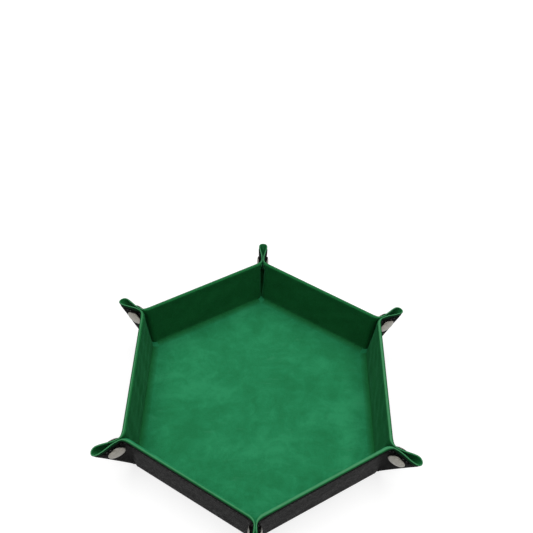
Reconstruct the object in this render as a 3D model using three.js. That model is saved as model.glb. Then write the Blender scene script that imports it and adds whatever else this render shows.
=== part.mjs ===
// Folding hexagonal dice tray: a flat laminated sheet (leatherette cover, stiff boards, velvet lining)
// whose six walls fold up along the floor creases and whose corners pinch into ears held by snap fasteners.
// Millimetres, +Z up. Origin: centre of the underside. Two corners lie on the Y axis, two walls face +X and -X.
import * as THREE from 'three';

// ---- driving dimensions ----
const FLOOR_SIDE = 100;          // crease-to-crease side of the floor hexagon
const WALL_HEIGHT = 42;          // from the floor crease axis to the rim, along the wall
const LEAN_DEG = 4;              // outward lean of a snapped wall
const T_COVER = 0.7;             // leatherette
const T_BOARD = 1.3;             // stiffening board
const T_LINING = 0.6;            // velvet lining
const LAYER_GAP = 0.2;           // glue line between layers
const CREASE_FLOOR = 1.7;        // bare strip each side of a floor crease
const CREASE_WALL_END = 0.9;     // bare strip on the wall side of a gusset crease
const CREASE_GUSSET = 0.5;       // bare strip on the gusset side of a gusset crease
const CORNER_INSET = 1.9;        // gusset crease, inboard of the floor corner
const T_GUSSET = 1.6;            // gusset: cover and lining only, no board
const GUSSET_SHIFT = -0.7;       // gusset mid-plane, towards the lining side of the wall mid-plane
const CORNER_RADIUS = 12;        // rounding of the sheet's six outer corners
const DIAGONAL_CLEARANCE = 0.40; // each side of the diagonal fold of a gusset
const SPLAY_DEG = 4;             // how far a snapped gusset half stands off the fully closed fold
const BOARD_SET_BACK = 1.2;      // board edge, inside the edge of the cover

const SNAP_R = 9.5;              // snap axis, out from the gusset crease
const SNAP_DROP = 9.5;           // snap axis, below the rim
const CAP_RADIUS = 6.25;         // 12.5 mm cap
const BARREL_RADIUS = 1.9;
const BARREL_HOLE = 2.2;
const SOCKET_RADIUS = 4.9;
const SOCKET_HOLE = 3.0;
const STUD_FLANGE = 4.4;
const STUD_RADIUS = 2.4;
const SEGMENTS = 20;

// ---- derived ----
const rad = d => d * Math.PI / 180;
const T_TOTAL = T_COVER + LAYER_GAP + T_BOARD + LAYER_GAP + T_LINING;   // 3.0
const HINGE_Z = T_TOTAL / 2;
const APOTHEM = FLOOR_SIDE * Math.cos(rad(30));
const LEAN = rad(LEAN_DEG);
const TAN30 = Math.tan(rad(30));

// fold angle at which the two halves of a gusset meet along their common diagonal
function closedFold(theta) {
  let lo = 0, hi = rad(90);
  for (let i = 0; i < 60; i++) {
    const m = (lo + hi) / 2;
    if (-Math.cos(m) + Math.sin(theta) + TAN30 * Math.sin(m) * Math.cos(theta) > 0) hi = m; else lo = m;
  }
  return (lo + hi) / 2;
}
const GUSSET_FOLD = closedFold(LEAN) + rad(SPLAY_DEG);

// ---- colours ----
const leather = () => new THREE.MeshStandardMaterial({ color: 0x2a2829, roughness: 0.55, metalness: 0 });
const velvet = () => new THREE.MeshStandardMaterial({ color: 0x228250, roughness: 0.95, metalness: 0 });
const board = () => new THREE.MeshStandardMaterial({ color: 0x8f8a80, roughness: 0.9, metalness: 0 });
const nickel = () => new THREE.MeshStandardMaterial({ color: 0xa9a79c, roughness: 0.3, metalness: 1 });

// ---- geometry helpers ----
function plate(points, z0, z1, holes = []) {
  const shape = new THREE.Shape(points.map(p => new THREE.Vector2(p[0], p[1])));
  for (const h of holes) {
    const path = new THREE.Path();
    path.absarc(h[0], h[1], h[2], 0, Math.PI * 2, true);
    shape.holes.push(path);
  }
  const g = new THREE.ExtrudeGeometry(shape, { depth: z1 - z0, bevelEnabled: false, curveSegments: 8 });
  g.translate(0, 0, z0);
  return g;
}
function lathe(profile, up = 1) {
  const g = new THREE.LatheGeometry(profile.map(p => new THREE.Vector2(p[0], p[1])), SEGMENTS);
  g.rotateX(up > 0 ? Math.PI / 2 : -Math.PI / 2);
  return g;
}
function mesh(parent, name, geometry, material) {
  const m = new THREE.Mesh(geometry, material);
  m.name = name;
  parent.add(m);
  return m;
}
function hexagon(apothem) {
  const R = apothem / Math.cos(rad(30));
  return [30, 90, 150, 210, 270, 330].map(a => [R * Math.cos(rad(a)), R * Math.sin(rad(a))]);
}

const tray = new THREE.Group();

// ---- floor ----
const floorApothem = APOTHEM - CREASE_FLOOR;
let z = 0;
mesh(tray, 'base_cover', plate(hexagon(floorApothem), z, z + T_COVER), leather());
z += T_COVER + LAYER_GAP;
mesh(tray, 'base_board', plate(hexagon(floorApothem - BOARD_SET_BACK), z, z + T_BOARD), board());
z += T_BOARD + LAYER_GAP;
mesh(tray, 'base_lining', plate(hexagon(floorApothem), z, z + T_LINING), velvet());

// ---- walls: local x along the crease (counter-clockwise from above), y up the wall, z outwards ----
const wallEnd = FLOOR_SIDE / 2 - CORNER_INSET;           // gusset crease axis
const wallHalf = wallEnd - CREASE_WALL_END;
const rect = (hx, y0, y1) => [[-hx, y0], [hx, y0], [hx, y1], [-hx, y1]];

// outline of the left-hand half of a gusset, crease axis at x = 0
function gussetOutline(sign) {
  const K = [CORNER_INSET + WALL_HEIGHT * TAN30, WALL_HEIGHT];      // sheet corner
  const d = [-Math.sin(rad(30)), -Math.cos(rad(30))];              // down the diagonal
  const C = [K[0] + d[0] * CORNER_RADIUS / Math.cos(rad(30)), K[1] + d[1] * CORNER_RADIUS / Math.cos(rad(30))];
  const pts = [[CREASE_GUSSET, CREASE_FLOOR]];
  const rLow = CORNER_INSET + CREASE_FLOOR * TAN30 - DIAGONAL_CLEARANCE / Math.cos(rad(30));
  pts.push([rLow, CREASE_FLOOR]);
  // arc from the diagonal (direction 60 degrees) round to the rim (direction 90 degrees)
  const a0 = 60 + Math.asin(DIAGONAL_CLEARANCE / CORNER_RADIUS) * 180 / Math.PI;
  const n = 5;
  for (let i = 0; i <= n; i++) {
    const a = rad(a0 + (90 - a0) * i / n);
    pts.push([C[0] + CORNER_RADIUS * Math.cos(a), C[1] + CORNER_RADIUS * Math.sin(a)]);
  }
  pts.push([CREASE_GUSSET, WALL_HEIGHT]);
  return sign > 0 ? pts : pts.map(p => [-p[0], p[1]]).reverse();
}

const face = T_GUSSET / 2;
const snapY = WALL_HEIGHT - SNAP_DROP;
const capProfile = [
  [0, -face], [BARREL_RADIUS, -face], [BARREL_RADIUS, face + 0.2], [CAP_RADIUS - 0.35, face + 0.2],
  [CAP_RADIUS, face + 0.5], [CAP_RADIUS - 0.45, face + 0.9], [CAP_RADIUS - 2.2, face + 1.22], [0, face + 1.35],
];
const socketProfile = [
  [SOCKET_HOLE, face + 0.2], [SOCKET_RADIUS, face + 0.2], [SOCKET_RADIUS, face + 1.3],
  [SOCKET_RADIUS - 0.4, face + 1.7], [SOCKET_HOLE + 0.3, face + 1.7], [SOCKET_HOLE, face + 1.4], [SOCKET_HOLE, face + 0.2],
];
const studProfile = [
  [0, face + 0.2], [STUD_FLANGE, face + 0.2], [STUD_FLANGE, face + 0.8], [STUD_RADIUS, face + 0.9],
  [STUD_RADIUS, face + 2.3], [STUD_RADIUS - 0.7, face + 2.7], [0, face + 2.7],
];

const walls = [];
for (let k = 1; k <= 6; k++) {
  const a = rad((k - 1) * 60);
  const n = new THREE.Vector3(Math.cos(a), Math.sin(a), 0);
  const t = new THREE.Vector3(-Math.sin(a), Math.cos(a), 0);
  const U = new THREE.Vector3(n.x * Math.sin(LEAN), n.y * Math.sin(LEAN), Math.cos(LEAN));
  const W = new THREE.Vector3(n.x * Math.cos(LEAN), n.y * Math.cos(LEAN), -Math.sin(LEAN));
  const wall = new THREE.Group();
  wall.position.set(n.x * APOTHEM, n.y * APOTHEM, HINGE_Z);
  wall.quaternion.setFromRotationMatrix(new THREE.Matrix4().makeBasis(t, U, W));
  tray.add(wall);
  walls.push(wall);
  const c0 = T_TOTAL / 2 - T_COVER;
  mesh(wall, `wall_${k}_cover`, plate(rect(wallHalf, CREASE_FLOOR, WALL_HEIGHT), c0, T_TOTAL / 2), leather());
  const b1 = c0 - LAYER_GAP;
  mesh(wall, `wall_${k}_board`, plate(rect(wallHalf - BOARD_SET_BACK, CREASE_FLOOR + 0.4, WALL_HEIGHT - BOARD_SET_BACK), b1 - T_BOARD, b1), board());
  mesh(wall, `wall_${k}_lining`, plate(rect(wallHalf, CREASE_FLOOR, WALL_HEIGHT), -T_TOTAL / 2, -T_TOTAL / 2 + T_LINING), velvet());
}

// ---- corners: corner k joins wall k (its left half, seen from outside) and wall k+1 (its right half) ----
for (let k = 1; k <= 6; k++) {
  const left = new THREE.Group();
  left.position.set(wallEnd, 0, GUSSET_SHIFT);
  left.rotation.y = -GUSSET_FOLD;
  walls[k - 1].add(left);
  mesh(left, `corner_${k}_gusset_left`, plate(gussetOutline(1), -face, face, [[SNAP_R, snapY, BARREL_HOLE]]), leather());
  mesh(left, `corner_${k}_snap_cap`, lathe(capProfile), nickel()).position.set(SNAP_R, snapY, 0);
  mesh(left, `corner_${k}_snap_socket`, lathe(socketProfile, -1), nickel()).position.set(SNAP_R, snapY, 0);

  const right = new THREE.Group();
  right.position.set(-wallEnd, 0, GUSSET_SHIFT);
  right.rotation.y = GUSSET_FOLD;
  walls[k % 6].add(right);
  mesh(right, `corner_${k}_gusset_right`, plate(gussetOutline(-1), -face, face, [[-SNAP_R, snapY, BARREL_HOLE]]), leather());
  mesh(right, `corner_${k}_snap_post`, lathe(capProfile), nickel()).position.set(-SNAP_R, snapY, 0);
  mesh(right, `corner_${k}_snap_stud`, lathe(studProfile, -1), nickel()).position.set(-SNAP_R, snapY, 0);
}

export default tray;
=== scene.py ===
import bpy, math
import numpy as np
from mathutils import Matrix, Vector

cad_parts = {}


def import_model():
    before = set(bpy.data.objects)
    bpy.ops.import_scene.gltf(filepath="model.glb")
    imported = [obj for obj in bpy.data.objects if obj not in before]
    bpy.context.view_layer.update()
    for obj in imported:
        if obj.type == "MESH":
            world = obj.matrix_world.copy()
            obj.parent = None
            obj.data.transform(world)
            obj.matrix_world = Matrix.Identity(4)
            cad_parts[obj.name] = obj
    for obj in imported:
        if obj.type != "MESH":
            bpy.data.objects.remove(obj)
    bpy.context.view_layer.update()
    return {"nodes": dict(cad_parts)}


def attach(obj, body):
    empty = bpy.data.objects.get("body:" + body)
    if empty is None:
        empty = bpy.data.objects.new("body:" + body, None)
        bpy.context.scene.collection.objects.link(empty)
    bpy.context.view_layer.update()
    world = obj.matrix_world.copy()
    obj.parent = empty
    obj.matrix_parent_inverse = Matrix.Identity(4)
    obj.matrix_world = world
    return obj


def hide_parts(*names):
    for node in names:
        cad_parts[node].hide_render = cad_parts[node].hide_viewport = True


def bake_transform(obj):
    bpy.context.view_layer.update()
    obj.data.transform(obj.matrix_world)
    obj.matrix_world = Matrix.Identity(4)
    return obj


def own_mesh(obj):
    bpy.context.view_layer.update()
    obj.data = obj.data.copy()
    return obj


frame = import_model()

# ------------------------------------------------------------------ sizes, mm, as the CAD frame has them
A = 86.60254            # floor crease apothem
HZ = 1.5                # crease axis height
TH = math.radians(4.0)  # wall lean at rest
H = 42.0                # crease to rim
WALL_END = 48.1         # gusset crease axis, along the wall
SHIFT = -0.7            # gusset mid-plane
SNAP_R, SNAP_V = 9.5, 32.5


def closed_fold():
    lo, hi = 0.0, math.pi / 2
    for _ in range(60):
        m = (lo + hi) / 2
        if -math.cos(m) + math.sin(TH) + math.tan(math.radians(30)) * math.sin(m) * math.cos(TH) > 0:
            hi = m
        else:
            lo = m
    return (lo + hi) / 2


FOLD = closed_fold() + math.radians(4.0)
CT, ST = math.cos(TH), math.sin(TH)


def basis(k):
    a = math.radians((k - 1) * 60)
    n = np.array([math.cos(a), math.sin(a), 0.0])
    t = np.array([-math.sin(a), math.cos(a), 0.0])
    z = np.array([0, 0, 1.0])
    return n, t, n * ST + z * CT, n * CT - z * ST


def world(k, P, side=1):
    """wall-local (t, v, w) in mm -> row frame in metres; side -1 mirrors the wall's other end"""
    n, t, U, W = basis(k)
    P = np.asarray(P, float)
    O = n * A + np.array([0, 0, HZ])
    return (O + side * P[..., 0:1] * t + P[..., 1:2] * U + P[..., 2:3] * W) / 1000.0


def sstep(a, b, x):
    t = np.clip((np.asarray(x, float) - a) / (b - a), 0, 1)
    return t * t * (3 - 2 * t)


def wobble(x, y, seed, f=0.045):
    """smooth repeatable unevenness, about -1..1"""
    r = np.random.RandomState(seed)
    s = np.zeros(np.broadcast(x, y).shape)
    for i in range(7):
        a = r.uniform(0, 2 * math.pi)
        k = f * (0.6 + 1.6 * r.rand()) * 2 * math.pi
        s = s + np.sin((x * math.cos(a) + y * math.sin(a)) * k + r.uniform(0, 2 * math.pi))
    return s / 3.2


WRAP_W, WRAP_E = 2.1, 2.4    # how far the lining folds over the outside, walls and gussets
# strength of the painted shade in the crease at the foot of each wall lining
CREASE_SHADE = 0.62
FOLD_IN = 6.5                # the wall lining starts this far in from the crease
PITCH = 2.7                  # stitch length and gap
STITCH_DROP = 3.35           # stitch line below the rim

# ------------------------------------------------------------------ materials
FLOOR_DARK, FLOOR_MID, FLOOR_LIGHT = (0.0130, 0.208, 0.073), (0.0175, 0.250, 0.095), (0.0270, 0.304, 0.124)
# painted shade: the wall and gusset linings take these darker copies of the velvet colour, while the floor keeps the
# lit colours above
SHADED_WALL_DARK, SHADED_WALL_LIGHT = (0.0070, 0.120, 0.0270), (0.0120, 0.165, 0.0420)
# pale rim colour: the lighter backing at the fold plus a painted highlight
RIM_PALE_HIGHLIGHT = (0.085, 0.320, 0.145)


def nt(name):
    m = bpy.data.materials.new(name)
    m.use_nodes = True
    t = m.node_tree
    t.nodes.clear()
    out = t.nodes.new("ShaderNodeOutputMaterial")
    b = t.nodes.new("ShaderNodeBsdfPrincipled")
    t.links.new(b.outputs[0], out.inputs[0])
    return m, t, b


def node(t, kind, **kw):
    n = t.nodes.new(kind)
    for k, v in kw.items():
        if k in n.inputs:
            n.inputs[k].default_value = v
        else:
            setattr(n, k, v)
    return n


def noise(t, vec, scale, detail=4.0, rough=0.55, dist=0.0):
    n = node(t, "ShaderNodeTexNoise", Scale=scale, Detail=detail, Roughness=rough, Distortion=dist)
    t.links.new(vec, n.inputs["Vector"])
    return n.outputs["Fac"]


def ramp(t, fac, stops):
    n = t.nodes.new("ShaderNodeValToRGB")
    e = n.color_ramp.elements
    while len(e) < len(stops):
        e.new(0.5)
    for s, (p, c) in zip(e, stops):
        s.position = p
        s.color = (c, c, c, 1) if not hasattr(c, "__len__") else (*c, 1)
    t.links.new(fac, n.inputs["Fac"])
    return n.outputs["Color"]


def mixc(t, fac, a, b, mode="MIX"):
    n = t.nodes.new("ShaderNodeMix")
    n.data_type = "RGBA"
    n.blend_type = mode
    for sock, v in ((n.inputs[0], fac), (n.inputs[6], a), (n.inputs[7], b)):
        if hasattr(v, "is_linked") or hasattr(v, "links"):
            t.links.new(v, sock)
        elif hasattr(v, "__len__"):
            sock.default_value = (*v, 1)
        else:
            sock.default_value = v
    return n.outputs[2]


def mathn(t, op, a, b=0.0):
    n = t.nodes.new("ShaderNodeMath")
    n.operation = op
    for i, v in enumerate((a, b)):
        if hasattr(v, "links"):
            t.links.new(v, n.inputs[i])
        else:
            n.inputs[i].default_value = v
    return n.outputs[0]


def scaled(t, vec, s):
    n = t.nodes.new("ShaderNodeMapping")
    n.inputs["Scale"].default_value = s
    t.links.new(vec, n.inputs["Vector"])
    return n.outputs[0]


def bump(t, b, height, strength, distance, prev=None):
    n = node(t, "ShaderNodeBump", Strength=strength, Distance=distance)
    t.links.new(height, n.inputs["Height"])
    if prev is not None:
        t.links.new(prev, n.inputs["Normal"])
    t.links.new(n.outputs[0], b.inputs["Normal"])
    return n.outputs[0]


def velvet_material(name="velvet", sheen=0.24):
    m, t, b = nt(name)
    co = t.nodes.new("ShaderNodeTexCoord").outputs["Object"]
    cloud = noise(t, co, 24.0, 4.0, 0.62, 0.9)
    brush = noise(t, scaled(t, co, (38.0, 84.0, 44.0)), 1.0, 4.0, 0.62, 0.7)
    fine = noise(t, co, 900.0, 3.0, 0.6)
    mid = noise(t, co, 230.0, 3.0, 0.6, 0.4)
    pile = noise(t, co, 3200.0, 2.0, 0.5)
    patch = noise(t, co, 75.0, 3.0, 0.65, 1.6)
    lay = mathn(t, "ADD", mathn(t, "MULTIPLY", cloud, 0.44), mathn(t, "MULTIPLY", brush, 0.30))
    lay = mathn(t, "ADD", lay, mathn(t, "MULTIPLY", patch, 0.26))
    c = ramp(t, lay, [(0.41, FLOOR_DARK), (0.505, FLOOR_MID), (0.60, FLOOR_LIGHT)])
    scuff = noise(t, scaled(t, co, (30.0, 130.0, 60.0)), 1.0, 2.0, 0.5, 2.2)
    c = mixc(t, mathn(t, "MULTIPLY", ramp(t, scuff, [(0.64, 0.0), (0.74, 1.0)]), 0.22), c, (0.060, 0.34, 0.16))
    # painted shade: the wall_shade attribute mixes the velvet towards its darker wall copy on the upright linings
    wall_shade = t.nodes.new("ShaderNodeAttribute")
    wall_shade.attribute_name = "wall_shade"
    w = ramp(t, lay, [(0.34, SHADED_WALL_DARK), (0.66, SHADED_WALL_LIGHT)])
    c = mixc(t, wall_shade.outputs["Fac"], c, w)
    c = mixc(t, mathn(t, "MULTIPLY", ramp(t, fine, [(0.38, 0.0), (0.66, 1.0)]), 0.16), c, (0.045, 0.30, 0.13))
    c = mixc(t, mathn(t, "MULTIPLY", ramp(t, pile, [(0.45, 0.0), (0.75, 1.0)]), 0.30), c, (0.004, 0.075, 0.024))
    at = t.nodes.new("ShaderNodeAttribute")
    at.attribute_name = "rim"
    # the rim line: partly the lighter backing at the fold, partly a painted highlight
    pale_edge_and_highlight = mathn(t, "MULTIPLY", at.outputs["Fac"], mathn(t, "ADD", 0.55, mathn(t, "MULTIPLY", mid, 0.55)))
    c = mixc(t, pale_edge_and_highlight, c, RIM_PALE_HIGHLIGHT)
    # painted shade: where rim is negative, on the outside of the fold-over and in the crease, the colour goes near
    # black
    c = mixc(t, mathn(t, "MULTIPLY", at.outputs["Fac"], -0.94), c, (0.0012, 0.0190, 0.0068))
    t.links.new(c, b.inputs["Base Color"])
    b.inputs["Roughness"].default_value = 0.95
    b.inputs["Specular IOR Level"].default_value = 0.12
    b.inputs["Sheen Weight"].default_value = sheen
    b.inputs["Sheen Roughness"].default_value = 0.30
    b.inputs["Sheen Tint"].default_value = (0.16, 0.96, 0.45, 1)
    p = bump(t, b, pile, 0.35, 0.00025)
    p = bump(t, b, fine, 0.40, 0.0004, p)
    bump(t, b, lay, 0.30, 0.0012, p)
    return m


def stitch_mask(t):
    """the needle holes and the puckered leather round each stitch, with painted shade in the puckers and a painted
    shade line just under the top edge: su runs along the rim, sv down from it, mm
    """
    u = t.nodes.new("ShaderNodeAttribute")
    u.attribute_name = "su"
    v = t.nodes.new("ShaderNodeAttribute")
    v.attribute_name = "sv"
    wave = mathn(t, "SINE", mathn(t, "MULTIPLY", u.outputs["Fac"], 2 * math.pi / PITCH))
    dash = ramp(t, mathn(t, "ADD", mathn(t, "MULTIPLY", wave, 0.5), 0.5), [(0.42, 0.0), (0.66, 1.0)])
    band = mathn(t, "ABSOLUTE", mathn(t, "SUBTRACT", v.outputs["Fac"], STITCH_DROP))
    band = ramp(t, mathn(t, "MULTIPLY", band, 0.5), [(0.30, 1.0), (0.46, 0.0)])
    # painted shade line just under the leatherette's top edge, where the fold-over meets it
    edge = mathn(t, "ABSOLUTE", mathn(t, "SUBTRACT", v.outputs["Fac"], STITCH_DROP - 0.9))
    edge = ramp(t, edge, [(0.30, 1.0), (0.75, 0.0)])
    return mathn(t, "MAXIMUM", mathn(t, "MULTIPLY", dash, band), mathn(t, "MULTIPLY", edge, 0.55))


def leather_material():
    m, t, b = nt("leatherette")
    co = t.nodes.new("ShaderNodeTexCoord").outputs["Object"]
    warp = t.nodes.new("ShaderNodeTexNoise")
    warp.inputs["Scale"].default_value = 260.0
    t.links.new(co, warp.inputs["Vector"])
    add = t.nodes.new("ShaderNodeVectorMath")
    add.operation = "MULTIPLY_ADD"
    add.inputs[1].default_value = (0.0004, 0.0004, 0.0004)
    t.links.new(warp.outputs["Color"], add.inputs[0])
    t.links.new(co, add.inputs[2])
    v = t.nodes.new("ShaderNodeTexVoronoi")
    v.feature = "DISTANCE_TO_EDGE"
    v.inputs["Scale"].default_value = 980.0
    t.links.new(add.outputs[0], v.inputs["Vector"])
    cell = ramp(t, v.outputs["Distance"], [(0.0, 0.0), (0.16, 0.75), (0.42, 1.0)])
    big = noise(t, co, 55.0, 4.0, 0.55)
    mid = noise(t, co, 420.0, 3.0, 0.6)
    c = ramp(t, big, [(0.30, (0.0080, 0.0080, 0.0083)), (0.72, (0.0170, 0.0168, 0.0164))])
    c = mixc(t, mathn(t, "MULTIPLY", mathn(t, "SUBTRACT", 1.0, cell), 0.6), c, (0.006, 0.006, 0.006))
    # lighter grey where the rim attribute is positive; every leatherette piece carries rim zero, so this adds nothing
    at = t.nodes.new("ShaderNodeAttribute")
    at.attribute_name = "rim"
    c = mixc(t, mathn(t, "MULTIPLY", at.outputs["Fac"], 0.55), c, (0.055, 0.055, 0.054))
    # painted shade: the leatherette grows darker down from the rim, and the faces turned inwards (sv raised by 90) go
    # fully dark
    lower_shade = t.nodes.new("ShaderNodeAttribute")
    lower_shade.attribute_name = "sv"
    c = mixc(t, mathn(t, "MULTIPLY", ramp(t, mathn(t, "MULTIPLY", lower_shade.outputs["Fac"], 0.025), [(0.40, 0.0), (1.0, 1.0)]), 0.60), c, (0.004, 0.004, 0.004))
    # painted shade in the stitch puckers and along the line under the fold-over
    stitch_shade_mask = stitch_mask(t)
    c = mixc(t, mathn(t, "MULTIPLY", stitch_shade_mask, 0.92), c, (0.0015, 0.0016, 0.0015))
    t.links.new(c, b.inputs["Base Color"])
    r = ramp(t, mid, [(0.35, 0.36), (0.68, 0.52)])
    r = mathn(t, "MAXIMUM", r, mathn(t, "MULTIPLY", stitch_shade_mask, 0.95))
    t.links.new(r, b.inputs["Roughness"])
    b.inputs["Specular IOR Level"].default_value = 0.008
    p = bump(t, b, cell, 0.55, 0.00016)
    p = bump(t, b, mid, 0.30, 0.00025, p)
    bump(t, b, big, 0.35, 0.0010, p)
    return m


def nickel_material():
    m, t, b = nt("nickel")
    co = t.nodes.new("ShaderNodeTexCoord").outputs["Object"]
    a = noise(t, co, 700.0, 4.0, 0.6)
    s = noise(t, scaled(t, co, (300.0, 300.0, 2600.0)), 1.0, 2.0, 0.5)
    c = ramp(t, a, [(0.3, (0.18, 0.171, 0.150)), (0.7, (0.32, 0.308, 0.272))])
    t.links.new(c, b.inputs["Base Color"])
    b.inputs["Metallic"].default_value = 1.0
    t.links.new(ramp(t, a, [(0.3, 0.30), (0.7, 0.40)]), b.inputs["Roughness"])
    p = bump(t, b, s, 0.28, 0.00012)
    bump(t, b, a, 0.10, 0.00015, p)
    return m


def thread_material():
    m, t, b = nt("thread")
    co = t.nodes.new("ShaderNodeTexCoord").outputs["Object"]
    w = noise(t, scaled(t, co, (2400.0, 2400.0, 2400.0)), 1.0, 2.0, 0.5)
    c = ramp(t, w, [(0.35, (0.003, 0.003, 0.003)), (0.65, (0.010, 0.010, 0.010))])
    t.links.new(c, b.inputs["Base Color"])
    b.inputs["Roughness"].default_value = 0.55
    b.inputs["Sheen Weight"].default_value = 0.05
    bump(t, b, w, 0.5, 0.00012)
    return m


def board_material():
    m, t, b = nt("greyboard")
    co = t.nodes.new("ShaderNodeTexCoord").outputs["Object"]
    a = noise(t, co, 160.0, 5.0, 0.6)
    f = noise(t, scaled(t, co, (900.0, 400.0, 900.0)), 1.0, 3.0, 0.6)
    c = ramp(t, a, [(0.3, (0.20, 0.185, 0.16)), (0.7, (0.32, 0.30, 0.26))])
    c = mixc(t, mathn(t, "MULTIPLY", ramp(t, f, [(0.5, 0.0), (0.7, 1.0)]), 0.4), c, (0.12, 0.11, 0.09))
    t.links.new(c, b.inputs["Base Color"])
    b.inputs["Roughness"].default_value = 0.9
    bump(t, b, f, 0.4, 0.0002)
    return m


def floor_material():
    m, t, b = nt("studio_floor")
    b.inputs["Base Color"].default_value = (0.40, 0.40, 0.398, 1)
    b.inputs["Emission Color"].default_value = (1, 1, 1, 1)
    # the pale floor stays evenly bright out to the horizon
    geo = t.nodes.new("ShaderNodeNewGeometry")
    ln = t.nodes.new("ShaderNodeVectorMath")
    ln.operation = "LENGTH"
    t.links.new(geo.outputs["Position"], ln.inputs[0])
    g = t.nodes.new("ShaderNodeMapRange")
    g.interpolation_type = "SMOOTHSTEP"
    for i, x in enumerate((0.30, 1.6, 0.76, 1.0)):
        g.inputs[i + 1].default_value = x
    t.links.new(ln.outputs["Value"], g.inputs[0])
    t.links.new(g.outputs[0], b.inputs["Emission Strength"])
    b.inputs["Roughness"].default_value = 0.9
    b.inputs["Specular IOR Level"].default_value = 0.1
    return m


VELVET, LEATHER, NICKEL, THREAD, BOARD = velvet_material(), leather_material(), nickel_material(), thread_material(), board_material()
# shaded copy of the velvet, almost without sheen, for the painted shade on the fold-over outside
VELVET_SHADED_WRAP = velvet_material("velvet_shaded_wrap", 0.02)


# ------------------------------------------------------------------ mesh building
def make(name, verts, faces, mat, rim=None, smooth=True, wall_shade=None, sharp=42.0, **attrs):
    me = bpy.data.meshes.new(name)
    me.from_pydata([tuple(v) for v in verts], [], [tuple(f) for f in faces])
    me.validate()
    for key, val in (("rim", rim), ("wall_shade", wall_shade), *attrs.items()):
        if val is not None:
            a = me.attributes.new(key, "FLOAT", "POINT")
            a.data.foreach_set("value", np.asarray(val, np.float32).reshape(-1))
    me.materials.append(mat)
    if mat is VELVET and rim is not None:
        # painted shade: the fold-over outside takes a copy of the velvet with almost no sheen, so the band stays dark
        dark = np.asarray(rim, float).reshape(-1)
        if dark.min() < -0.5:
            me.materials.append(VELVET_SHADED_WRAP)
            for f in me.polygons:
                if len(f.vertices) == 4 and dark[list(f.vertices)].max() < -0.5 and me.vertices[f.vertices[0]].co.z > 0.02:
                    f.material_index = 1
    if smooth:
        me.polygons.foreach_set("use_smooth", [True] * len(me.polygons))
        me.set_sharp_from_angle(angle=math.radians(sharp))
    o = bpy.data.objects.new(name, me)
    bpy.context.scene.collection.objects.link(o)
    return o


def loft(name, R, mat, rim=None, flip=False, caps=True, wall_shade=None, **attrs):
    """R (N, M, 3): N closed rings of M points, in metres"""
    N, M, _ = R.shape
    f = []
    for i in range(N - 1):
        for j in range(M):
            a, b = i * M + j, i * M + (j + 1) % M
            q = (a, b, b + M, a + M)
            f.append(q[::-1] if flip else q)
    if caps:
        f0, f1 = tuple(range(M))[::-1], tuple((N - 1) * M + j for j in range(M))
        f.append(f0[::-1] if flip else f0)
        f.append(f1[::-1] if flip else f1)
    o = make(name, R.reshape(-1, 3), f, mat, rim, wall_shade=wall_shade, **attrs)
    flat_caps(o, M)
    return o


def flat_caps(o, M):
    for p in o.data.polygons:
        if len(p.vertices) == M and M > 4:
            p.use_smooth = False


def contour(vs):
    """closed outline from (x, y, e, n): corner rounding length e, n points along the side that follows; returns points and tags"""
    P = [np.array(v[:2], float) for v in vs]
    out, tag = [], []
    K = len(P)
    for i in range(K):
        p, a, b = P[i], P[i - 1], P[(i + 1) % K]
        e, n = vs[i][2], vs[i][3]
        da, db = (a - p), (b - p)
        la, lb = np.linalg.norm(da), np.linalg.norm(db)
        e1 = min(e, la * 0.49)
        e2 = min(e, lb * 0.49)
        if e > 0:
            p0, p1 = p + da / la * e1, p + db / lb * e2
            m = 4
            for s in np.linspace(0, 1, m):
                out.append((1 - s) ** 2 * p0 + 2 * s * (1 - s) * p + s * s * p1)
                tag.append(i)
            start = p1
        else:
            out.append(p)
            tag.append(i)
            start = p
        en = vs[(i + 1) % K][2]
        end = b - db / lb * min(en, lb * 0.49) if en > 0 else b
        for s in range(1, n):
            out.append(start + (end - start) * s / n)
            tag.append(i + 0.5)
    return np.array(out), np.array(tag)


def FL(d, z):
    """a point of the floor, d inwards from the crease axis and z above it, in the wall's (v, w)"""
    return (-d * ST + z * CT, -d * CT - z * ST)


GAP_T = 46.0


# ---- the walls between the corners
def wall_rings_velvet():
    d = (1.5 - 1.5 * ST) / CT
    di = (0.9 - 0.9 * ST) / CT
    f0, f1 = FL(FOLD_IN, 1.5), FL(FOLD_IN, 0.9)
    v1, v2 = FL(d, 1.5)[0], FL(di, 0.9)[0]
    w = WRAP_W
    return contour([
        (*f0, 0.0, 4), (v1, -1.5, 1.7, 18), (H, -1.5, 0.70, 7), (H, 1.25, 0.60, 4), (H - w, 1.25, 0.3, 1),
        (H - w, 0.77, 0.0, 1), (H - w - 0.8, 0.77, 0.0, 1), (H - w - 0.8, 0.64, 0.0, 1), (H - 0.65, 0.64, 0.0, 1),
        (H - 0.65, -0.9, 0.0, 9), (v2, -0.9, 3.2, 4), (*f1, 0.0, 1)])


HIGHLIGHT_START = {1: 0.10, 2: 0.52, 3: 0.52, 4: 0.34, 5: 0.34, 6: 0.10}     # where the pale line starts across each rim; its width per wall is a painted highlight, wider on the rims that catch the light


def rim_highlight_and_shade(n, v, vt, hin, ho, s=0.0, k=1):
    """pale fold edge along the top of the fold-over, lighter backing with a painted highlight, thinner on the gussets
    (s = 1), and painted shade below it on the outside
    """
    x = (n + hin) / (hin + ho)
    lo, hi = HIGHLIGHT_START[k] + (0.22 - HIGHLIGHT_START[k]) * s, 0.76 + 0.06 * s
    light = sstep(vt - 0.9, vt - 0.35, v) * sstep(lo - 0.03, lo + 0.2, x) * sstep(hi, hi - 0.18, x)
    return light - sstep(0.68 + 0.12 * s, 0.86 + 0.10 * s, x) * sstep(vt + 0.01, vt - 0.16, v)


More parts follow.
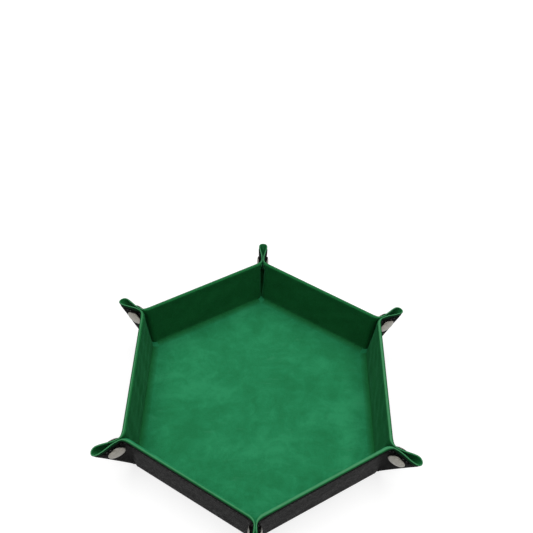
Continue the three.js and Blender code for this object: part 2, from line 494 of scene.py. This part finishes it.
def wall_rings_leather():
    z0, z1 = -1.48, -0.8
    v1 = z0 * CT + (1.5 + z0 * ST) / CT * ST
    v2 = z1 * CT + (0.8 + z1 * ST) / CT * ST
    top = H - WRAP_W - 0.06
    return contour([
        (*FL(3.0, z0), 0.0, 2), (v1, 1.5, 1.5, 10), (top - 2.1, 1.5, 0.0, 1), (top - 1.65, 1.40, 0.0, 1), (top - 1.2, 1.40, 0.0, 1),
        (top - 0.8, 1.52, 0.0, 1), (top, 1.53, 0.30, 1), (top, 0.8, 0.0, 8), (v2, 0.8, 0.9, 2), (*FL(3.0, z1), 0.0, 1)])


def build_wall(k):
    ts = np.concatenate([np.linspace(-GAP_T, GAP_T, 47)])
    # velvet
    c, tag = wall_rings_velvet()
    R = np.zeros((len(ts), len(c), 3))
    R[..., 0] = ts[:, None]
    R[..., 1] = c[None, :, 0]
    R[..., 2] = c[None, :, 1]
    face = (np.abs(tag - 1.5) < 0.1)
    vv = R[..., 1]
    mask = face[None, :] * sstep(3.5, 9, vv) * sstep(H - 1.0, H - 5, vv) * sstep(GAP_T, GAP_T - 6, np.abs(R[..., 0]))
    R[..., 2] += mask * 0.30 * wobble(R[..., 0], vv, 10 + k)
    rim = rim_highlight_and_shade(R[..., 2], R[..., 1], H, 1.5, 1.25, 0.0, k)
    # the lining is pressed hard into the crease, and painted shade darkens it there
    rim = rim - face[None, :] * CREASE_SHADE * sstep(0.6, 1.0, R[..., 1]) * sstep(3.0, 1.9, R[..., 1])
    # painted shade: the lining above the crease takes the darker wall colour; on walls 5 and 6 the inner half of the
    # rim top keeps the lit floor colour
    wall_shade = sstep(0.9, 1.4, R[..., 1])
    if k in (5, 6):
        wall_shade = wall_shade * (1 - sstep(H - 0.7, H - 0.15, R[..., 1]) * sstep(0.6, 0.1, R[..., 2]))
    o = loft(f"wall_{k}_velvet", world(k, R), VELVET, rim, wall_shade=wall_shade)
    P = lambda d, z: world(k, [0, *FL(d, z)])
    s = 3.2
    start = world(k, [0.0, *FL(s, 0.0)])
    end = world(k, [0.0, s, 0.0])
    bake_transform(o)
    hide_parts(f"wall_{k}_lining")
    # leatherette
    c, tag = wall_rings_leather()
    R = np.zeros((len(ts), len(c), 3))
    R[..., 0] = ts[:, None]
    R[..., 1] = c[None, :, 0]
    R[..., 2] = c[None, :, 1]
    face = (np.abs(tag - 1.5) < 0.1)
    vv = R[..., 1]
    mask = face[None, :] * sstep(1.0, 7, vv) * sstep(37.5, 33, vv) * sstep(GAP_T, GAP_T - 6, np.abs(R[..., 0]))
    R[..., 2] += mask * 0.16 * wobble(R[..., 0], vv, 40 + k, 0.03)
    o = loft(f"wall_{k}_leatherette", world(k, R), LEATHER, rim=np.zeros(R.shape[:2]), su=R[..., 0], sv=H - R[..., 1] + 90 * (R[..., 2] < 1.2))
    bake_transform(o)
    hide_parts(f"wall_{k}_cover")
    # stitching
    S, F = [], []
    for i in range(-17, 18):
        x = (i + 0.25) * PITCH
        if abs(x) < GAP_T - 0.9:
            capsule(S, F, lambda u, x=x: np.array([x + (u - 0.5) * 1.75, H - STITCH_DROP + 0.05 * math.sin(3.1 * i), 1.46]), np.array([0, 0, 1.0]), 0.30)
    o = make(f"wall_{k}_stitching", world(k, np.array(S)), F, THREAD)
    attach(o, f"wall_{k}")


def capsule(S, F, line, nrm, r, n=6, segs=5):
    """one stitch: line(u) for u in 0..1 gives its middle, flattened into the surface along nrm"""
    base = len(S)
    us = np.linspace(0, 1, segs)
    prof = [0.35, 0.85, 1.0, 0.85, 0.35]
    for u, p in zip(us, prof):
        c = line(u)
        d = line(min(u + 0.02, 1.02)) - line(max(u - 0.02, -0.02))
        d = d / np.linalg.norm(d)
        s = np.cross(nrm, d)
        s = s / np.linalg.norm(s)
        nn = np.cross(d, s)
        lift = -0.12 + 0.12 * p
        for j in range(n):
            a = 2 * math.pi * j / n
            S.append(c + s * math.cos(a) * r * p + nn * (math.sin(a) * r * 0.9 * p + lift))
    for i in range(segs - 1):
        for j in range(n):
            a, b = base + i * n + j, base + i * n + (j + 1) % n
            F.append((a, b, b + n, a + n))
    F.append(tuple(base + j for j in range(n))[::-1])
    F.append(tuple(base + (segs - 1) * n + j for j in range(n)))


# ---- the corners: one surface runs from the wall round into the gusset and out to the diagonal fold
C_B, C_F = 0.13, 0.78
DIRB = None


def t0(v):
    return 50.0 + v * ST / (2 * 0.8660254)


PSI = math.atan2(2 * 0.8660254, CT)      # bisector plane's trace in a (t, w) slice
DB = np.array([math.cos(PSI), math.sin(PSI)])
NB = np.array([-math.sin(PSI), math.cos(PSI)])


def beta_end(v):
    v = np.asarray(v, float)
    return np.maximum(0.5575 * v - 0.25, 0.12)


def plate_mu(beta, v):
    r = beta + 1.554 + 0.02 * v
    return 0.866 * 1.9 + 0.5 * v * ST - 0.35 * CT + r * (-0.866 * math.cos(FOLD) + 0.5 * math.sin(FOLD) * CT)


SNAP_B = SNAP_R - 1.554 - 0.02 * SNAP_V


def mu(c, beta, v):
    """half the width of the gusset: the rims are pressed together by the corner and open to a loop at the tip"""
    f = plate_mu(beta, v)
    pinch = 0.74
    rimline = pinch + (3.0 - pinch) * sstep(0.20, 0.80, c)
    d = np.hypot(beta - SNAP_B, v - SNAP_V)
    g = 1 - sstep(5.2, 8.4, d)
    h = sstep(30.0, 40.5, v) * (1 - g)
    return f + (rimline - f) * h


def ear_point(c, v):
    """c 0..1 across the gusset from the corner line to the fold, (t, w)"""
    be = beta_end(v)
    c = np.asarray(c, float)
    cc = np.minimum(c, C_F)
    m0 = mu(cc, cc * be, v)
    tau = np.clip((c - C_F) / (1 - C_F), 0, 1)
    b = np.where(c <= C_F, c * be, be * (C_F + (1 - C_F) * np.sin(tau * math.pi / 2)))
    m = np.where(c <= C_F, m0, m0 * np.cos(tau * math.pi / 2) - 0.02 * sstep(0.7, 1.0, tau))
    return t0(v) + b * DB[0] + m * NB[0], b * DB[1] + m * NB[1]


def mid(q, v):
    """q 0..1 wall end to gusset, 1..2 gusset, 2..3 fold; (t, v, w)"""
    q, v = np.broadcast_arrays(np.asarray(q, float), np.asarray(v, float))
    c = np.where(q < 2, C_B + (C_F - C_B) * np.clip(q - 1, 0, 1), C_F + (1 - C_F) * np.clip(q - 2, 0, 1))
    te, we = ear_point(c, v)
    # fillet
    tb, wb = ear_point(np.full_like(v, C_B), v)
    tb2, wb2 = ear_point(np.full_like(v, C_B + 0.02), v)
    dx, dy = tb2 - tb, wb2 - wb
    L = np.hypot(dx, dy)
    dx, dy = dx / L, dy / L
    back = wb / np.maximum(dy, 0.2)
    ti = tb - back * dx
    ha = np.maximum(ti - GAP_T, 0.4) * 0.66
    hb = np.maximum(back, 0.3) * 0.62
    s = np.clip(q, 0, 1)
    b0, b1, b2, b3 = (1 - s) ** 3, 3 * s * (1 - s) ** 2, 3 * s * s * (1 - s), s ** 3
    tf = b0 * GAP_T + b1 * (GAP_T + ha) + b2 * (tb - hb * dx) + b3 * tb
    wf = b2 * (wb - hb * dy) + b3 * wb
    t = np.where(q < 1, tf, te)
    w = np.where(q < 1, wf, we)
    return np.stack([t, v, w], -1)


def normal(q, v):
    e = 0.02
    a = mid(np.clip(q + e, 0, 3), v) - mid(np.clip(q - e, 0, 3), v)
    b = mid(q, v + 0.25) - mid(q, v - 0.25)
    n = np.cross(a, b)
    return n / np.maximum(np.linalg.norm(n, axis=-1, keepdims=True), 1e-9)


def top_v(q):
    """rim height along the gusset: the sheet's corner is cut round"""
    if q <= 1:
        return H
    c = C_B + (C_F - C_B) * min(q - 1, 1) if q < 2 else C_F + (1 - C_F) * math.sin(min(q - 2, 1) * math.pi / 2)
    v = H
    for _ in range(30):
        r = c * float(beta_end(v)) + 1.554 + 0.02 * v
        if r <= 19.22:
            return H
        v = 30.0 + math.sqrt(max(144.0 - (r - 19.22) ** 2, 0))
    return v


def prof(q):
    s = float(sstep(0.15, 0.95, q))
    lerp = lambda a, b: a + (b - a) * s
    return dict(hin=lerp(1.5, 0.65), hout=lerp(1.5, 0.65), ho=lerp(1.25, 0.47), nt=lerp(0.77, 0.035), na=lerp(-0.9, -0.13),
                tl=lerp(0.7, 0.56), wrap=lerp(WRAP_W, WRAP_E), ec=lerp(0.70, 0.38), under=0.02, vb=-1.38 + 2.88 * float(sstep(0.0, 0.4, q)),
                eb=lerp(1.4, 0.04), tlp=lerp(0.7, 0.02), vbv=lerp(1.3, 0.9), s=s)


def corner_ring(q, kind):
    p = prof(q)
    vt = top_v(q)
    if kind == "velvet":
        w = p["wrap"]
        vs = [(p["vbv"], -p["hin"], 0.0, 16), (vt, -p["hin"], p["ec"], 7), (vt, p["ho"], p["ec"] * 0.86, 5), (vt - w, p["ho"], 0.25, 1),
              (vt - w, p["nt"], 0.0, 1), (vt - w - 0.8, p["nt"], 0.0, 1), (vt - w - 0.8, p["nt"] - 0.12, 0.0, 1),
              (vt - 0.6, p["nt"] - 0.12, 0.0, 1), (vt - 0.6, p["na"], 0.0, 12), (p["vbv"], p["na"], 0.0, 1)]
    else:
        top = vt - p["wrap"] - 0.06
        vs = [(p["vb"], p["hout"] - p["tl"] - p["under"] - 0.02, 0.0, 2), (p["vb"], p["hout"], max(p["eb"], 0.01), 16), (top - 2.1, p["hout"], 0.0, 1),
              (top - 1.65, p["hout"] - 0.09, 0.0, 1), (top - 1.2, p["hout"] - 0.09, 0.0, 1), (top - 0.8, p["hout"] + 0.02, 0.0, 1),
              (top, p["hout"] + 0.03 * (1 - p["s"]), 0.30, 1), (top, p["hout"] - p["tl"], 0.0, 12),
              (p["vb"] + p["tlp"], p["hout"] - p["tl"], 0.0, 2), (p["vb"] + p["tlp"], p["hout"] - p["tl"] - p["under"] - 0.01, 0.0, 1)]
    c, tag = contour(vs)
    return c, tag, vt, p


# painted shade weight for the gusset linings; the inner half of the rim top on walls 5 and 6 keeps the lit floor colour
def rim_wall_shade(k, n, v, vt, s=0.0):
    d = np.ones(np.broadcast(n, v).shape)
    if k in (5, 6):
        d = d - (1 - s) * sstep(vt - 0.7, vt - 0.15, v) * sstep(0.6, 0.1, n)
    return d


def corner_grid(qs, kind, wk=1, wall_shades=None):
    rings, rims, drop = [], [], []
    for q in qs:
        c, tag, vt, p = corner_ring(q, kind)
        v, n = c[:, 0], c[:, 1]
        Q = np.full_like(v, q)
        P = mid(Q, v) + normal(Q, v) * n[:, None]
        # the cut at the fold stays on the bisector plane
        rings.append(P)
        if kind == "velvet":
            rims.append(rim_highlight_and_shade(n, v, vt, p["hin"], p["ho"], p["s"], wk))
            if wall_shades is not None:
                wall_shades.append(rim_wall_shade(wk, n, v, vt, p["s"]))
        else:
            rims.append(np.zeros(len(v)))
        drop.append(vt - v + (WRAP_W - p["wrap"]) + 90 * (n < p["hout"] - 0.3))
    rings, drop = np.array(rings), np.array(drop)
    line = np.array([mid(q, top_v(q) - STITCH_DROP) for q in qs])
    su = np.concatenate([[0], np.cumsum(np.linalg.norm(np.diff(line, axis=0), axis=1))]) + GAP_T
    return rings, np.array(rims), np.repeat(su[:, None], drop.shape[1], 1), drop


def keep_off_bisector(R, gap=0.02):
    """no point of this half crosses the plane it shares with the other half"""
    t, v, w = R[..., 0], R[..., 1], R[..., 2]
    m = (t - t0(v)) * NB[0] + w * NB[1]
    push = np.maximum(gap - m, 0)
    R = R.copy()
    R[..., 0] += push * NB[0]
    R[..., 2] += push * NB[1]
    return R


def build_corner(k, side):
    """side 1: left half, on wall k's far end; side -1: right half, on wall k+1's near end"""
    wk = k if side > 0 else k % 6 + 1
    nm = "left" if side > 0 else "right"
    body, wall = f"corner_{k}_{nm}", f"wall_{wk}"
    nT, nE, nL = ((11, 17, 11))
    qTE = np.concatenate([np.linspace(0, 1, nT), np.linspace(1, 2, nE)[1:]])
    qL = 2 + np.linspace(0, 1, nL)
    n, t, U, W = basis(wk)
    # two points across the gusset crease
    s0 = world(wk, [GAP_T - 0.2, 20.0, 0.0], side)
    s1 = world(wk, [WALL_END + 6.0 * math.cos(FOLD), 20.0, SHIFT + 6.0 * math.sin(FOLD)], side)
    # plate plane of the gusset half
    pn = side * t * (-math.sin(FOLD)) + W * math.cos(FOLD)
    px = side * t * math.cos(FOLD) + W * math.sin(FOLD)
    pa = world(wk, [WALL_END, 20.0, SHIFT], side)
    sq_anchor = world(wk, [WALL_END, 0.0, SHIFT], side) + px * 1.55 / 1000.0
    for kind, mat, slot in (("velvet", VELVET, "velvet"), ("leatherette", LEATHER, "leatherette_gusset")):
        wall_shade_rows = []
        R, rim, su, sv = corner_grid(qTE, kind, wk, wall_shade_rows)
        R = keep_off_bisector(R, 0.15)
        o = loft(f"corner_{k}_{nm}_{kind}", world(wk, R, side), mat, rim, flip=(side < 0), wall_shade=np.array(wall_shade_rows) if wall_shade_rows else np.ones(rim.shape), su=su, sv=sv)
        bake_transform(o)
        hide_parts(f"corner_{k}_gusset_{nm}")
        R, rim, _, _ = corner_grid(qL, kind, wk)
        R = keep_off_bisector(R, 0.0)
        o = loft(f"corner_{k}_{nm}_fold_{kind}", world(wk, R, side), mat, rim, flip=(side < 0), wall_shade=np.ones(rim.shape))
        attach(o, body)
        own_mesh(o)
    # stitching along the curved rim
    S, F = [], []
    qq = np.linspace(0.0, 2.0, 400)
    pr = [prof(q) for q in qq]
    vl = np.array([top_v(q) - p["wrap"] - (STITCH_DROP - WRAP_W) for q, p in zip(qq, pr)])
    C = mid(qq, vl) + normal(qq, vl) * np.array([p["hout"] - 0.03 for p in pr])[:, None]
    NN = normal(qq, vl)
    L = np.concatenate([[0], np.cumsum(np.linalg.norm(np.diff(C, axis=0), axis=1))])
    x = (math.ceil(GAP_T / PITCH - 0.25) + 0.25) * PITCH - GAP_T - 0.875
    x += PITCH if x < 0.1 else 0
    while x + 1.9 < L[-1]:
        at = lambda u, x=x: np.array([np.interp(x + u * 1.75, L, C[:, i]) for i in range(3)])
        nr = np.array([np.interp(x + 1.0, L, NN[:, i]) for i in range(3)])
        m_ = at(0.5)
        qm = np.interp(x + 1.0, L, qq)
        dist = np.hypot((C_B + (C_F - C_B) * max(qm - 1, 0)) * float(beta_end(m_[1])) - SNAP_B, m_[1] - SNAP_V) if qm > 1 else 99
        if dist > 6.9:
            capsule(S, F, at, nr, 0.30)
        x += PITCH
    if S:
        if side < 0:
            F = [f[::-1] for f in F]
        o = make(f"corner_{k}_{nm}_stitching", world(wk, np.array(S), side), F, THREAD)
        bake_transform(o)
    # snap parts
    X = side * t * math.cos(FOLD) + W * math.sin(FOLD)
    Z = pn
    O = pa + (U * (SNAP_V - 20.0) + X * SNAP_R) / 1000.0
    if side > 0:
        snap(f"corner_{k}_cap", CAP, O, X, Z, body, f"corner_{k}_snap_cap")
        snap(f"corner_{k}_socket", SOCKET, O, X, -Z, body, f"corner_{k}_snap_socket", wires=True)
    else:
        snap(f"corner_{k}_post", CAP, O, X, Z, body, f"corner_{k}_snap_post")
        snap(f"corner_{k}_stud", STUD, O, X, -Z, body, f"corner_{k}_snap_stud")


def arc(cx, cy, r, a0, a1, n):
    return [(cx + r * math.cos(math.radians(a)), cy + r * math.sin(math.radians(a))) for a in np.linspace(a0, a1, n)]


# turned profiles (radius, height off the gusset mid-plane), mm
CAP = [(0, -0.75), (1.55, -0.75), (1.75, -0.6), (1.8, 0.5), (5.6, 0.6), (5.95, 0.66)] + arc(5.88, 1.05, 0.37, -80, 75, 7) + \
      [(5.75, 1.50), (5.3, 1.66), (4.6, 1.82), (3.6, 1.97), (2.4, 2.08), (1.2, 2.135), (0, 2.15)]
SOCKET = [(3.05, 0.72), (4.75, 0.72)] + arc(4.62, 0.98, 0.27, -60, 60, 4) + [(4.65, 1.5)] + arc(4.35, 2.15, 0.34, -20, 110, 6) + \
         [(3.9, 2.38), (3.6, 2.20)] + arc(3.32, 2.16, 0.28, 20, 170, 5) + [(3.02, 1.9), (3.3, 1.6), (3.3, 1.1), (3.05, 0.9)]
STUD = [(0, 0.72), (4.15, 0.72)] + arc(4.12, 0.99, 0.26, -80, 80, 6) + [(3.7, 1.32), (3.2, 1.18), (2.6, 1.22), (2.12, 1.5), (2.06, 1.9)] + \
       arc(2.05, 2.75, 0.33, -60, 30, 4) + arc(1.75, 2.98, 0.5, 10, 90, 5) + [(0.9, 3.47), (0.75, 3.2), (0, 3.15)]


def snap(name, profile, O, X, Z, body, nodename, wires=False):
    n = 56
    P = np.array(profile)
    closed = P[0, 0] > 0.01
    X = X / np.linalg.norm(X)
    Z = Z / np.linalg.norm(Z)
    Y = np.cross(Z, X)
    V, F = [], []
    idx = []
    for r, z in P:
        if r < 1e-6:
            idx.append([len(V)])
            V.append((0, 0, z))
        else:
            idx.append(list(range(len(V), len(V) + n)))
            for j in range(n):
                a = 2 * math.pi * j / n
                V.append((r * math.cos(a), r * math.sin(a), z))
    rows = list(zip(idx[:-1], idx[1:])) + ([(idx[-1], idx[0])] if closed else [])
    for a, b in rows:
        for j in range(n):
            j2 = (j + 1) % n
            if len(a) == 1:
                F.append((a[0], b[j], b[j2])[::-1])
            elif len(b) == 1:
                F.append((a[j], a[j2], b[0]))
            else:
                F.append((a[j], a[j2], b[j2], b[j]))
    V = np.array(V)
    if wires:
        # the two spring wires that grip the stud
        for s in (-1, 1):
            base = len(V)
            add = []
            for i, u in enumerate(np.linspace(-1, 1, 9)):
                c = np.array([s * (2.72 - 0.12 * (1 - u * u)), u * 2.2, 1.55])
                for j in range(8):
                    a = 2 * math.pi * j / 8
                    add.append(c + 0.2 * np.array([math.cos(a), 0, math.sin(a)]))
            V = np.vstack([V, np.array(add)])
            for i in range(8):
                for j in range(8):
                    a, b = base + i * 8 + j, base + i * 8 + (j + 1) % 8
                    F.append((a, a + 8, b + 8, b))
            F.append(tuple(base + j for j in range(8)))
            F.append(tuple(base + 64 + j for j in range(8))[::-1])
    Wd = O + (V[:, 0:1] * X + V[:, 1:2] * Y + V[:, 2:3] * Z) / 1000.0
    o = make(name, Wd, F, NICKEL)
    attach(o, body)
    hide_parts(nodename)
    return o


# ---- the floor
def hex_sheet(name, apo, z0, z1, mat, seed=None, amp=0.0, lug=101.0, lug_o=0.45, lug_z=0.05, up=True):
    Rc = apo / math.cos(math.radians(30))
    N = int(Rc / 2.4)
    pts = [(0.0, 0.0)]
    ring = [[0]]
    for i in range(1, N + 1):
        row = []
        for s in range(6):
            a0, a1 = math.radians(30 + 60 * s), math.radians(90 + 60 * s)
            p0 = np.array([math.cos(a0), math.sin(a0)]) * Rc * i / N
            p1 = np.array([math.cos(a1), math.sin(a1)]) * Rc * i / N
            for j in range(i):
                row.append(len(pts))
                pts.append(tuple(p0 + (p1 - p0) * j / i))
        ring.append(row)
    F = []
    for i in range(1, N + 1):
        inner, outer = ring[i - 1], ring[i]
        for s in range(6):
            for j in range(i):
                a = outer[s * i + j]
                b = outer[(s * i + j + 1) % (6 * i)]
                c = inner[(s * (i - 1) + j) % len(inner)] if i > 1 else inner[0]
                F.append((a, b, c))
                if j < i - 1:
                    d = inner[(s * (i - 1) + j + 1) % len(inner)]
                    F.append((b, d, c))
    P = np.array(pts)
    n = len(P)
    x, y = P[:, 0], P[:, 1]
    hexd = np.max([x * math.cos(math.radians(60 * s)) + y * math.sin(math.radians(60 * s)) for s in range(6)], axis=0)
    z = np.full(n, z1 if up else z0)
    if seed is not None:
        z = z + amp * sstep(apo - 1, apo - 12, hexd) * wobble(x, y, seed, 0.011)
    V = np.column_stack([P, z])
    # side and back
    edge = ring[N]
    zb = z0 if up else z1
    back = np.column_stack([P[edge], np.full(len(edge), zb)])
    V = np.vstack([V, back])
    m = len(edge)
    if not up:
        F = [f[::-1] for f in F]
    for j in range(m):
        a, b = edge[j], edge[(j + 1) % m]
        q = (a, n + j, n + (j + 1) % m, b)
        F.append(q if up else q[::-1])
    cap = tuple(n + j for j in range(m))
    F.append(cap[::-1] if up else cap)
    # the corners reach out under the pinched gussets
    for s in range(6):
        a = math.radians(30 + 60 * s)
        n1, t1 = basis(s + 1)[0][:2], basis(s + 1)[1][:2]
        n2, t2 = basis((s + 1) % 6 + 1)[0][:2], basis((s + 1) % 6 + 1)[1][:2]
        dd, ss = np.array([math.cos(a), math.sin(a)]), np.array([-math.sin(a), math.cos(a)])
        poly = [n1 * (A - 11) + t1 * 39, n1 * (A - 0.5) + t1 * 44.5, n1 * (A + lug_o) + t1 * 48.8, dd * lug - ss * 0.9,
                dd * lug + ss * 0.9, n2 * (A + lug_o) - t2 * 48.8, n2 * (A - 0.5) - t2 * 44.5, n2 * (A - 11) - t2 * 39]
        base = len(V)
        zt, zl = (z1 - lug_z, z1 - 0.5) if up else (0.87, 0.79)
        V = np.vstack([V, [[*p, zt] for p in poly], [[*p, zl] for p in poly]])
        q = len(poly)
        F.append(tuple(base + i for i in range(q)))
        F.append(tuple(base + q + i for i in range(q))[::-1])
        for i in range(q):
            F.append((base + i, base + q + i, base + q + (i + 1) % q, base + (i + 1) % q))
        if not up:
            poly = [dd * 97.4 - ss * 1.5, dd * lug - ss * 0.7, dd * lug + ss * 0.7, dd * 97.4 + ss * 1.5]
            base, q = len(V), 4
            V = np.vstack([V, [[*p, 2.42] for p in poly], [[*p, 0.74] for p in poly]])
            F.append(tuple(base + i for i in range(q)))
            F.append(tuple(base + q + i for i in range(q))[::-1])
            for i in range(q):
                F.append((base + i, base + q + i, base + q + (i + 1) % q, base + (i + 1) % q))
    o = make(name, V / 1000.0, F, mat, rim=np.zeros(len(V)), wall_shade=np.zeros(len(V)))
    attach(o, "floor")
    return o


o = hex_sheet("floor_velvet", A - FOLD_IN, 2.4, 3.0, VELVET, seed=5, amp=0.22)
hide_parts("base_lining")
o = hex_sheet("floor_leatherette", A - 3.0, 0.02, 0.7, LEATHER, up=False, lug=101.3, lug_o=0.9)
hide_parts("base_cover")

for k in range(1, 7):
    build_wall(k)
    build_corner(k, 1)
    build_corner(k, -1)

for nme, ob in frame["nodes"].items():
    if nme.endswith("_board"):
        for i in range(max(1, len(ob.material_slots))):
            if ob.material_slots:
                ob.material_slots[i].material = BOARD
            else:
                ob.data.materials.append(BOARD)

# ------------------------------------------------------------------ stage, light, camera
me = bpy.data.meshes.new("studio_floor")
S = 9.0
me.from_pydata([(-S, -S, -0.0002), (S, -S, -0.0002), (S, S, -0.0002), (-S, S, -0.0002)], [], [(0, 1, 2, 3)])
me.materials.append(floor_material())
st = bpy.data.objects.new("studio_floor", me)
bpy.context.scene.collection.objects.link(st)


WORLD_LIGHT = 0.07


def area(name, loc, size, power, target=(0, 0, 0.02), color=(1, 1, 1)):
    L = bpy.data.lights.new(name, "AREA")
    L.shape = "RECTANGLE"
    L.size, L.size_y = size
    L.energy = power
    L.color = color
    ob = bpy.data.objects.new(name, L)
    ob.location = loc
    ob.rotation_mode = "QUATERNION"
    ob.rotation_quaternion = (Vector(target) - Vector(loc)).to_track_quat("-Z", "Y")
    bpy.context.scene.collection.objects.link(ob)
    return ob


area("key_top", (0.0, 0.12, 1.5), (1.9, 1.7), 26.0)
area("fill_front", (0.5, -1.5, 0.9), (1.2, 0.7), 1.0)
world_ = bpy.data.worlds.new("studio")
bpy.context.scene.world = world_
world_.use_nodes = True
wt = world_.node_tree
bg = wt.nodes["Background"]
lp = wt.nodes.new("ShaderNodeLightPath")
mx = wt.nodes.new("ShaderNodeMix")
mx.inputs[2].default_value, mx.inputs[3].default_value = WORLD_LIGHT, 1.0
wt.links.new(lp.outputs["Is Camera Ray"], mx.inputs[0])
wt.links.new(mx.outputs[0], bg.inputs["Strength"])
bg.inputs["Color"].default_value = (1, 1, 1, 1)
bpy.context.scene.view_settings.view_transform = "Standard"
bpy.context.scene.view_settings.look = "None"

# photograph's viewpoint
f_px, az, el, roll, dist, tx, ty = 700.0, -1.371, 50.038, 3.011, 0.62117, 0.0055, 0.140358
cxp, cyp = 268.55, 261.9
cam = bpy.data.cameras.new("camera")
cam.sensor_width = 36.0
cam.lens = f_px / 533.0 * 36.0
cam.shift_x = (266.5 - cxp) / 533.0
cam.shift_y = (cyp - 266.5) / 533.0
cam.clip_start = 0.01
cob = bpy.data.objects.new("camera", cam)
a_, e_, r_ = math.radians(az), math.radians(el), math.radians(roll)
back = Vector((math.sin(a_) * math.cos(e_), -math.cos(a_) * math.cos(e_), math.sin(e_)))
right = (-back).cross(Vector((0, 0, 1))).normalized()
up = right.cross(-back)
right2 = right * math.cos(r_) + up * math.sin(r_)
up2 = -right * math.sin(r_) + up * math.cos(r_)
from mathutils import Matrix
M = Matrix((right2, up2, back)).transposed().to_4x4()
M.translation = Vector((tx, ty, 0)) + back * dist
cob.matrix_world = M
bpy.context.scene.collection.objects.link(cob)
bpy.context.scene.camera = cob
